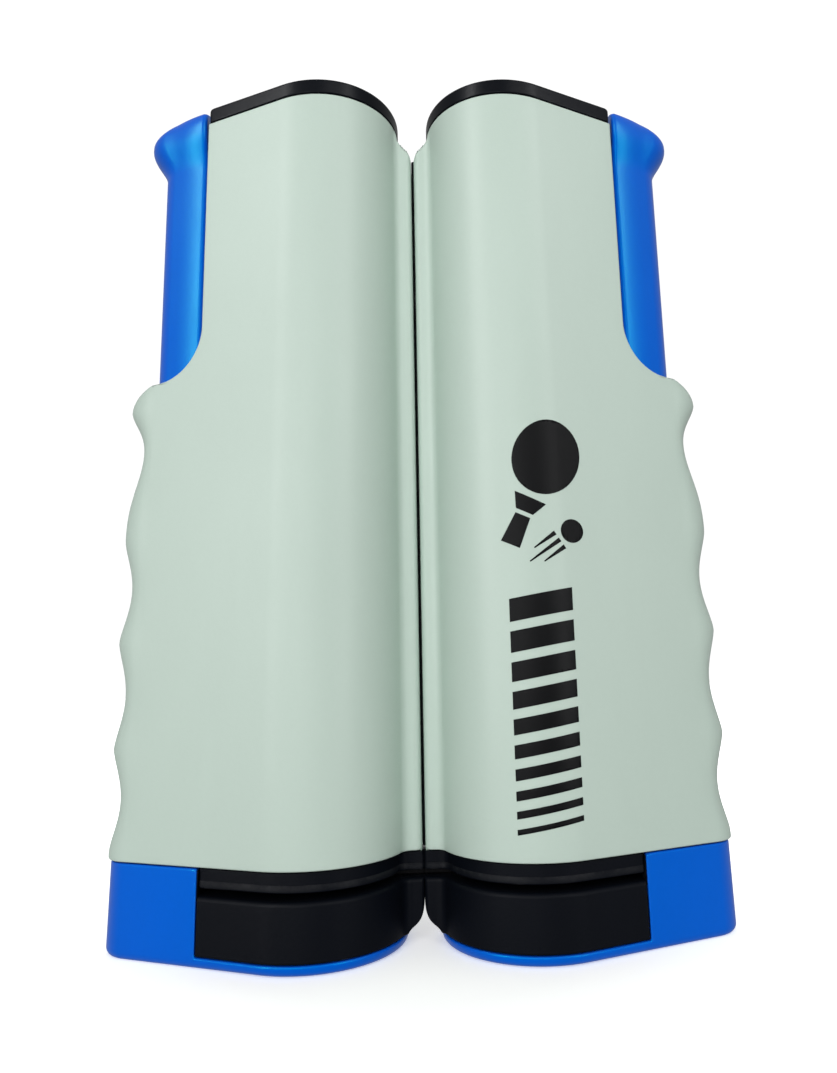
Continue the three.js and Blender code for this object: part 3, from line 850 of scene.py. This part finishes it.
def jaw_block(side_name):
    def at(z, shrink):
        return outline(z, shrink=shrink, lip=True, high=CORNER_X - GAP + shrink, corner=0.3,
                       cut_x=toe_face(z), lip_round=1.2)

    base, edge = PLATE_TOP + GAP, 0.3
    levels = rounded_levels(base, BLOCK_TOP, edge, 1, at, 7)
    levels += [(z, at(z, 0)) for z in spread(base + edge + 0.2, TOE[0][1] + 0.2, 18)]
    bm = bmesh.new()
    add_loft(bm, levels)
    # an upstand against the corner's inner face: a black piece put there as painted shade, so the
    # groove beside the corner shows dark instead of the lit blue face
    add_loft(bm, rounded_levels(BLOCK_TOP - 1, BAND_TOP - 0.5, 0, 0.1, lambda z, s: outline(
        z, inset=0.5, low=CORNER_X - 0.3, high=CORNER_X - 0.03, corner=0.05)))
    post_piece("jaw_block", bm, side_name, "jaw", "black_plastic")


def lower_jaw(side_name):
    side = SIDES[side_name]
    bm = bmesh.new()
    full = slab_levels(0, BAND_TOP, 1.8, 0.5, steps=6)
    add_loft(bm, full + [(z, outline(z)) for z in (3.4, 8, 14)])
    obj = post_piece("lower_jaw", bm, side_name, "jaw", "blue_plastic", edge=0.4)
    tool = bmesh.new()
    add_box(tool, -10, CORNER_X, -50, 50, PLATE_TOP, 60)
    cut(obj, tool, side)
    holes = bmesh.new()
    for x in BLOCK_SCREWS_X:
        add_turned(holes, [(0, -0.5), (4.1, -0.5), (1.8, 1.8), (1.8, 5), (0, 5)], (x, 0, 0), 36)
    cut(obj, holes, side)
    bar = bmesh.new()
    add_box(bar, BAR_X0, BAR_X1, -BAR_HALF, BAR_HALF, BAND_TOP - 2, LAP_Z - GAP)
    add_box(bar, BAR_X0, BAR_X1, GAP / 2, BAR_HALF - 1.8, LAP_Z - 1, LAP_TOP)
    join(obj, bar, side)


def handle_outline(flare, round_x=0.0, round_y=0.0):
    """The handle's outline: flare 0 is the stem and 1 the head. Its flanks are crowned."""
    inset = lerp(HANDLE_INSET, 0.6, flare) + round_y
    outer_x = lerp(HANDLE_X, HEAD_X, flare) - round_x
    points = outline(HEIGHT, inset=inset, outer_x=outer_x, low=HANDLE_INNER_X, corner=1.0)
    middle = (HANDLE_INNER_X + CROWN_END_X) / 2
    half = (CROWN_END_X - HANDLE_INNER_X) / 2
    crowned = []
    for x, y in points:
        rise = HANDLE_CROWN * max(1 - ((x - middle) / half) ** 2, 0)
        crowned.append((x, y + math.copysign(rise, y) if abs(y) > 1 else y))
    return crowned


def thumb_handle(side_name):
    levels = [(SHOULDER_Z, handle_outline(0, 0.4, 0.4))]
    levels += [(z, handle_outline(0)) for z in (SHOULDER_Z + 0.5, 150, 180, HEAD_Z - 1)]
    for t in spread(0, 1, 14):
        levels.append((lerp(HEAD_Z, HEAD_WIDE_Z, t), handle_outline(smooth(t))))
    for a in spread(0, math.pi / 2, 16)[1:]:
        z = HEAD_TOP - HEAD_ROUND_Z * (1 - math.sin(a))
        near_top = max(1 - (HEAD_TOP - z) / HEAD_EDGE, 0)
        round_y = HEAD_EDGE * (1 - math.sqrt(1 - near_top**2))
        levels.append((z, handle_outline(1, HEAD_ROUND_X * (1 - math.cos(a)), round_y)))
    bm = bmesh.new()
    add_loft(bm, levels)
    for v in bm.verts:
        share = max((v.co.z - HEAD_WIDE_Z) / (HEAD_TOP - HEAD_WIDE_Z), 0)
        v.co.z -= share * HEAD_DROOP * (v.co.x - HANDLE_INNER_X)
    add_box(bm, BAR_X0, BAR_X1, -BAR_HALF, -GAP / 2, LAP_Z, SHOULDER_Z + 1)
    post_piece("thumb_handle", bm, side_name, "jaw", "blue_plastic", edge=0.3)


# ---- screws, springs and the reel ----
def add_cross_head(bm, at, seat, radius, height, across, down=False):
    """A domed head with a cross recess, as a low disc and four raised quarters."""
    sign = -1 if down else 1
    add_turned(bm, tube(0, radius, seat, seat + 0.5 * height * sign), at, 36, across)
    slot = 0.17 * radius

    def vert(r, h, a):
        return bm.verts.new(_turned_point(r, h, a, at, across))

    for quarter in range(4):
        start = math.pi / 2 * quarter
        rows = []
        for r in spread(radius, 0.25 * radius, 6):
            dome = 0.5 + 0.5 * math.sqrt(1 - (r / radius) ** 2 * 0.8)
            half = math.asin(min(slot / r, 0.7))
            angles = spread(start + half, start + math.pi / 2 - half, 8)
            rows.append([(r, seat + sign * height * dome, a) for a in angles])
        top = [[vert(r, h, a) for r, h, a in row] for row in rows]
        low = [[vert(r, seat + 0.4 * height * sign, a) for r, _, a in row] for row in rows]
        for k in range(len(rows) - 1):
            for j in range(8):
                bm.faces.new((top[k][j], top[k][j + 1], top[k + 1][j + 1], top[k + 1][j]))
                bm.faces.new((low[k][j], low[k + 1][j], low[k + 1][j + 1], low[k][j + 1]))
        add_skin(bm, [edge_loop(top), edge_loop(low)], capped=False)


def edge_loop(grid):
    """The verts round the border of a grid of verts."""
    return (grid[0] + [row[-1] for row in grid[1:]] + grid[-1][-2::-1]
            + [row[0] for row in grid[-2:0:-1]])


def pan_screw(side_name, part, body, seat, tip, x, z):
    bm = bmesh.new()
    add_cross_head(bm, (x, 0, z), seat + 0.1, 2.5, 1.7, True)
    add_turned(bm, [(0, tip), (1, tip + 0.5), (1.4, tip + 1.6), (1.4, seat + 0.3), (0, seat + 0.3)],
               (x, 0, z), 20, across=True)
    post_piece(part, bm, side_name, body, "steel", edge=0.08, segments=2, merge=0.0005)


def block_screw(side_name, part, x):
    bm = bmesh.new()
    add_cross_head(bm, (x, 0, 0), 1.3, 2.9, 1.1, False, down=True)
    add_turned(bm, [(0, 1.1), (2.6, 1.1), (1.3, 2.2), (1.3, 9), (0.6, 10), (0, 10)], (x, 0, 0), 20)
    post_piece(part, bm, side_name, "jaw", "steel", edge=0.08, segments=2, merge=0.0005)


def clamp_spring(side_name):
    bm = bmesh.new()
    add_coil(bm, SPRING_X, SPRING_R, SPRING_WIRE_R, SPRING_TURNS, SHELF_TOP + GAP,
             SHOULDER_Z - GAP, closed_turns=1)
    obj = post_piece("clamp_spring", bm, side_name, "post", "steel")
    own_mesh(obj)


def spring_guide(side_name):
    bm = bmesh.new()
    low = SHELF_Z - 2.6
    add_turned(bm, [(0, low), (2.3, low), (2.3, SHELF_Z - GAP), (1.2, SHELF_Z - GAP), (1.2, 71),
                    (0.9, 71.7), (0, 72)], (SPRING_X, 0, 0), 28)
    post_piece("spring_guide", bm, side_name, "post", "steel", edge=0.15)


def reel():
    """The reel in the left post, and the rod in the right post that holds the net's end."""
    def turned(part, profile, body, slot):
        bm = bmesh.new()
        add_turned(bm, profile, (REEL_X, 0, 0), 48)
        piece(f"look_left_{part}", bm, -1, body, slot, [f"left_{part}"], edge=0.15)

    turned("spindle", tube(0, SPINDLE_R, BAND_TOP - 1 + GAP, SHELL_TOP - 1.3), "left_post",
           "steel")
    turned("spool_tube", tube(TUBE_BORE_R, TUBE_R, NET_BASE, TUBE_TOP), "spool", "white_plastic")
    bore = SPINDLE_R + GAP
    for part, end, inwards in (("lower_bush", NET_BASE, 1), ("upper_bush", TUBE_TOP, -1)):
        flange, face, tip = (end + step * inwards for step in (-1.4, -GAP, 6))
        turned(part, [(bore, flange), (TUBE_R, flange), (TUBE_R, face), (TUBE_BORE_R - GAP, face),
                      (TUBE_BORE_R - GAP, tip), (bore, tip)], "spool", "white_plastic")
    bm = bmesh.new()
    add_coil(bm, REEL_X, radius=3.3, wire=0.4, turns=40, z0=40, z1=194, closed_turns=3, sides=8)
    piece("look_left_recoil_spring", bm, -1, "left_post", "steel", ["left_recoil_spring"])
    bm = bmesh.new()
    add_turned(bm, tube(0, ROD_R, NET_BASE - 1.5, NET_TOP + 2), (ROD_X, 0, 0), 32)
    piece("look_right_net_end_rod", bm, 1, "right_post", "white_plastic",
          ["right_net_end_rod"], 0.3)


def slot_seal():
    """A black strip down the right post's slot, which the net's end is sewn round."""
    bm = bmesh.new()
    add_box(bm, 0.03 - SEAM_X, 6.5, -1.05, 1.05, SHELL_BASE + 0.2, SHOULDER[0][1] + 2.6)
    piece("look_right_slot_strip", bm, 1, "right_post", "black_plastic", edge=0.4)


# ---- the net ----
NET_TAPE = 11  # width of the white tape along the net's top edge
CORD_STEP = 12.5
CORD_W = 0.9
NET_LEVELS = [NET_BASE, NET_BASE + 8, NET_TOP - NET_TAPE, NET_TOP]
NET_LENGTH = 1700
LEAD_ANGLE = math.radians(29.1)  # where the net leaves the roll
WEB_X0 = -7.6
WEB_X1 = 0.3
WEB_HALF = 0.2  # half the thickness of the mesh's cords


def rest_x(along):
    """Rest place, in mm, of the web's point that lies this far along the drawn-out net."""
    width = WEB_X1 - WEB_X0
    low, high = 0.0, 1.0
    for _ in range(60):
        t = (low + high) / 2
        if t * width + smooth(t) * NET_OUT * 1000 < along:
            low = t
        else:
            high = t
    return WEB_X0 + low * width


def add_strip(bm, places, z0, z1, half, layer):
    """A thin closed strip of cloth across these places (along, x)."""
    corners = ((-half, z0), (half, z0), (half, z1), (-half, z1))
    rings = [[bm.verts.new((x, y, z)) for y, z in corners] for _, x in places]
    along = {v: place[0] for place, ring in zip(places, rings) for v in ring}
    for face in add_skin(bm, rings):
        for loop in face.loops:
            loop[layer].uv = (along[loop.vert] * MM, loop.vert.co.z * MM)


def add_cloth(bm, rows, layer):
    """Cloth through rows [(along, verts at the net's levels), ...]; its top band is tape."""
    for (s0, a), (s1, b) in zip(rows, rows[1:]):
        for k in range(len(NET_LEVELS) - 1):
            face = bm.faces.new((a[k], b[k], b[k + 1], a[k + 1]))
            for loop, s in zip(face.loops, (s0, s1, s1, s0)):
                loop[layer].uv = (s * MM, loop.vert.co.z * MM)
            face.material_index = 1 if k == 2 else 0


def net_roll():
    """The net wound on the spool: one long sheet in a flat spiral."""
    inner = TUBE_R + GAP + 0.1
    pitch = math.pi * (ROLL_R**2 - inner**2) / NET_LENGTH
    turns = (ROLL_R - inner) / pitch
    steps = int(turns * 44)
    bm = bmesh.new()
    layer = bm.loops.layers.uv.new("cloth")
    rows, along, before = [], 0.0, None
    for i in range(steps + 1):
        share = i / steps
        a = -LEAD_ANGLE - 2 * math.pi * turns * (1 - share)
        r = lerp(inner, ROLL_R, share)
        # the post is mirrored, so the spiral is drawn mirrored as well
        here = (REEL_X - r * math.cos(a), r * math.sin(a))
        along += math.dist(here, before) if before else 0
        before = here
        rows.append((along, [bm.verts.new((*here, z)) for z in NET_LEVELS]))
    add_cloth(bm, rows, layer)
    obj = piece("look_left_net_roll", bm, -1, "spool", "net_mesh", ["left_net_roll"], merge=1e-4)
    obj.data.materials.append(MATERIALS["net_tape"])
    return obj


def net_web():
    """The stretch of net between the posts. At rest it is bunched up in the slots; its
    points are placed so that it is even when it has been drawn out."""
    reach = NET_OUT * 1000 + WEB_X1 - WEB_X0
    bm = bmesh.new()
    layer = bm.loops.layers.uv.new("cloth")
    stations = spread(0, reach, round(reach / CORD_STEP))
    places = [(s, rest_x(s)) for s in stations]
    tape_base = NET_TOP - NET_TAPE
    for z in spread(NET_BASE, tape_base, round((tape_base - NET_BASE) / CORD_STEP))[1:-1]:
        add_strip(bm, places, z - CORD_W / 2, z + CORD_W / 2, WEB_HALF, layer)
    for s in stations[1:-1]:
        sides = [(t, rest_x(t)) for t in (s - CORD_W / 2, s + CORD_W / 2)]
        add_strip(bm, sides, NET_BASE + 1, NET_TOP - 2, WEB_HALF * 1.15, layer)
    tapes = bmesh.new()
    tape_layer = tapes.loops.layers.uv.new("cloth")
    add_strip(tapes, places, tape_base, NET_TOP, WEB_HALF * 1.4, tape_layer)
    add_strip(tapes, places, NET_BASE, NET_BASE + 3, WEB_HALF * 1.4, tape_layer)
    made = []
    shapes = (("look_net_web", bm, "net_mesh"), ("look_net_tapes", tapes, "net_tape"))
    for name, shape, slot in shapes:
        obj = link(bpy.data.objects.new(name, finish_mesh(name, shape, 1, merge=1e-7)))
        obj.data.materials.append(MATERIALS[slot])
        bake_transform(obj)
        made.append(obj)
    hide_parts("right_net_web")
    # the flat run from the roll to the slot
    run = bmesh.new()
    run_layer = run.loops.layers.uv.new("cloth")
    x0, y0 = -REEL_X + ROLL_R * math.cos(LEAD_ANGLE), -ROLL_R * math.sin(LEAD_ANGLE)
    rows = []
    for i, t in enumerate(spread(0, 1, 10)):
        x, y = lerp(x0, WEB_X0 + 0.3, t), lerp(y0, 0, t)
        rows.append((i, [run.verts.new((x, y, z)) for z in NET_LEVELS]))
    add_cloth(run, rows, run_layer)
    lead = piece("look_net_lead", run, 1, "left_post", "net_mesh", merge=0.0001)
    lead.data.materials.append(MATERIALS["net_tape"])
    return made + [lead]


# ---- printed mark ----
MARK_X = (18, 46)  # the mark lies within these
MARK_Z = (28, 128)
INK_PROUD = 0.03
INK_THICK = 0.05


def ellipse(x, z, rx, rz, turn=0.0, steps=48):
    c, s = math.cos(math.radians(turn)), math.sin(math.radians(turn))
    ring = arc(0, 0, 1, 0, 2 * math.pi, steps)[:-1]
    return [(x + c * rx * u - s * rz * v, z + s * rx * u + c * rz * v) for u, v in ring]


def stroke(x0, z0, x1, z1, width0, width1):
    """A straight line that tapers from one width to the other."""
    length = math.dist((x0, z0), (x1, z1))
    nx, nz = (z0 - z1) / length / 2, (x1 - x0) / length / 2
    return [(x0 - nx * width0, z0 - nz * width0), (x1 - nx * width1, z1 - nz * width1),
            (x1 + nx * width1, z1 + nz * width1), (x0 + nx * width0, z0 + nz * width0)]


def mark_shapes():
    """A generic sports mark: a bat and a ball above a ladder of slanted bars."""
    shapes = [
        ellipse(31.6, 114.6, 8.4, 9.6, -24),
        stroke(27.2, 104.4, 25.6, 101.0, 8.2, 4.4),
        stroke(25.2, 100.1, 22.0, 93.2, 3.8, 4.8),
        ellipse(37.2, 96.4, 2.9, 2.9),
    ]
    for aside, length in ((2, 6.4), (0, 9.2), (-2, 6.4)):
        x, z = 34 - 0.57 * aside, 94.2 + 0.82 * aside
        shapes.append(stroke(x, z, x - 0.82 * length, z - 0.57 * length, 1.1, 0.3))
    slant, gap, top = 2.6, 2.2, 82.8
    inner, outer = 21.2, 36.4
    for thick in spread(5.4, 1.2, 9):
        shapes.append([(inner, top - thick - slant), (outer, top - thick), (outer, top),
                       (inner, top - slant)])
        top -= thick + gap
    return shapes


def printed_mark():
    """The mark laid on the right post's barrel, sliced so that it bends with it."""
    bm = bmesh.new()
    for shape in mark_shapes():
        bm.faces.new([bm.verts.new((x, 0, z)) for x, z in shape])
    bmesh.ops.triangulate(bm, faces=bm.faces)
    for x in spread(*MARK_X, 36):
        slice_at(bm, (x, 0, 0), (1, 0, 0))
    for z in spread(*MARK_Z, 20):
        slice_at(bm, (0, 0, z), (0, 0, 1))
    for v in bm.verts:
        v.co.y = -Plan(v.co.z, -INK_PROUD).surface_y(v.co.x)
    obj = piece("look_right_printed_mark", bm, 1, "right_post", "black_plastic", merge=0.001,
                material=PRINT)
    ink = obj.modifiers.new("ink", "SOLIDIFY")
    ink.thickness = INK_THICK * MM
    ink.offset = 0
    obj.modifiers.move(len(obj.modifiers) - 1, 0)


def slice_at(bm, point, normal):
    geometry = [*bm.verts, *bm.edges, *bm.faces]
    bmesh.ops.bisect_plane(bm, geom=geometry, plane_co=point, plane_no=normal, dist=1e-4)


# ---- camera, stage and light, in metres ----
WORLD_LIGHT = 0.46
BACKDROP_LIGHT = 1.05
FLOOR_R = 3.0
EYE = (0.0029, -0.20864, 0.0637)
MIDDLE = (0, 0, 0.11)
STRIP = (0.16, 0.9)
TALL_STRIP = (0.12, 1.4)
# name, place, target, size and power; the two glints only shine and light nothing
LIGHTS = [
    ("key", (-0.446, -0.839, 0.25), MIDDLE, STRIP, 1.8),
    ("front", (-0.198, -0.929, 0.25), MIDDLE, STRIP, 3.6),
    ("fill", (0.066, -0.948, 0.25), MIDDLE, STRIP, 1.3),
    ("high", (0.274, -0.752, 0.75), MIDDLE, (0.3, 0.3), 1.1),
    ("glint_left", (-0.765, -0.69, 0.5), (0, 0, 0.4), TALL_STRIP, 14.0),
    ("glint_right", (0.71, -0.75, 0.5), (0, 0, 0.4), TALL_STRIP, 9.0),
    ("back", (0.1, 1.0, 0.5), MIDDLE, (0.6, 0.6), 3.0),
]


def add_camera():
    """Low and close in front, tilted up a little, as such a set is seen on a bench."""
    yaw, pitch, roll = 0.036, 0.175, -0.026
    forward = Vector((
        math.sin(yaw) * math.cos(pitch), math.cos(yaw) * math.cos(pitch), math.sin(pitch)))
    right = Vector((math.cos(yaw), -math.sin(yaw), 0))
    up = right.cross(forward)
    c, s = math.cos(roll), math.sin(roll)
    axes = (c * right + s * up, c * up - s * right, -forward)
    data = bpy.data.cameras.new("camera")
    data.lens = 26.72
    data.sensor_width = 36
    data.shift_x = -0.0367
    data.shift_y = -0.0052
    data.clip_start = 0.005
    camera = link(bpy.data.objects.new("camera", data))
    camera.matrix_world = Matrix.Translation(EYE) @ Matrix(axes).transposed().to_4x4()
    bpy.context.scene.camera = camera


def add_light(name, place, target, size, power):
    data = bpy.data.lights.new(name, "AREA")
    data.shape = "RECTANGLE"
    data.size, data.size_y = size
    data.energy = power
    light = link(bpy.data.objects.new(name, data))
    aim = Vector(target) - Vector(place)
    turn = aim.to_track_quat("-Z", "Y").to_matrix().to_4x4()
    light.matrix_world = Matrix.Translation(place) @ turn
    light.visible_diffuse = not name.startswith("glint")


def add_stage():
    """A pale floor, and a white surround that is brighter to the camera than as a light."""
    bpy.context.scene.view_settings.view_transform = "Standard"
    bm = bmesh.new()
    bmesh.ops.create_circle(bm, cap_ends=True, segments=96, radius=FLOOR_R)
    mesh = bpy.data.meshes.new("floor")
    bm.to_mesh(mesh)
    bm.free()
    floor = link(bpy.data.objects.new("floor", mesh))
    floor.location.z = -0.0001
    look = Look("floor")
    look.set(Base_Color=(0.92, 0.925, 0.92, 1), Roughness=0.9, Specular_IOR_Level=0.1)
    # the floor glows with painted light, weaker near the object and full from 0.2 m out, so that
    # away from the object it fades into the white of the backdrop
    distance = look.node("ShaderNodeVectorMath", {0: look.position}, operation="LENGTH")
    glow = look.span(distance.outputs["Value"], 0.04, 0.2, 0.4, 1)
    look.set(Emission_Color=(1, 1, 1, 1), Emission_Strength=glow)
    mesh.materials.append(look.material)
    # the floor takes the shadows but lights nothing
    floor.visible_diffuse = False
    floor.visible_glossy = False

    world = bpy.data.worlds.new("studio")
    bpy.context.scene.world = world
    world.use_nodes = True
    tree = world.node_tree
    background = tree.nodes["Background"]
    backdrop = tree.nodes.new("ShaderNodeBackground")
    for source, strength in ((background, WORLD_LIGHT), (backdrop, BACKDROP_LIGHT)):
        source.inputs["Color"].default_value = (1, 1, 1, 1)
        source.inputs["Strength"].default_value = strength
    rays = tree.nodes.new("ShaderNodeLightPath")
    choice = tree.nodes.new("ShaderNodeMixShader")
    sources = (rays.outputs["Is Camera Ray"], background.outputs[0], backdrop.outputs[0])
    for source, socket in zip(sources, choice.inputs):
        tree.links.new(source, socket)
    tree.links.new(choice.outputs[0], tree.nodes["World Output"].inputs[0])


add_camera()
add_stage()
for light in LIGHTS:
    add_light(*light)

for name in SIDES:
    for half in (-1, 1):
        casing_half(name, half)
    top_cap(name)
    upper_jaw(name)
    upper_jaw_pad(name)
    lower_jaw(name)
    jaw_block(name)
    thumb_handle(name)
    for number, screw_z in enumerate(SCREWS_Z, 1):
        pan_screw(name, f"casing_screw_{number}", "post", SCREW_SEAT_Y, -8, SCREW_X, screw_z)
    for number, screw_z in enumerate(LAP_SCREWS_Z, 1):
        pan_screw(name, f"handle_screw_{number}", "jaw", LAP_SEAT_Y, -4.5, BAR_X, screw_z)
    for number, screw_x in enumerate(BLOCK_SCREWS_X, 1):
        block_screw(name, f"block_screw_{number}", screw_x)
    clamp_spring(name)
    spring_guide(name)
reel()
roll = net_roll()
web_pieces = net_web()
slot_seal()
printed_mark()
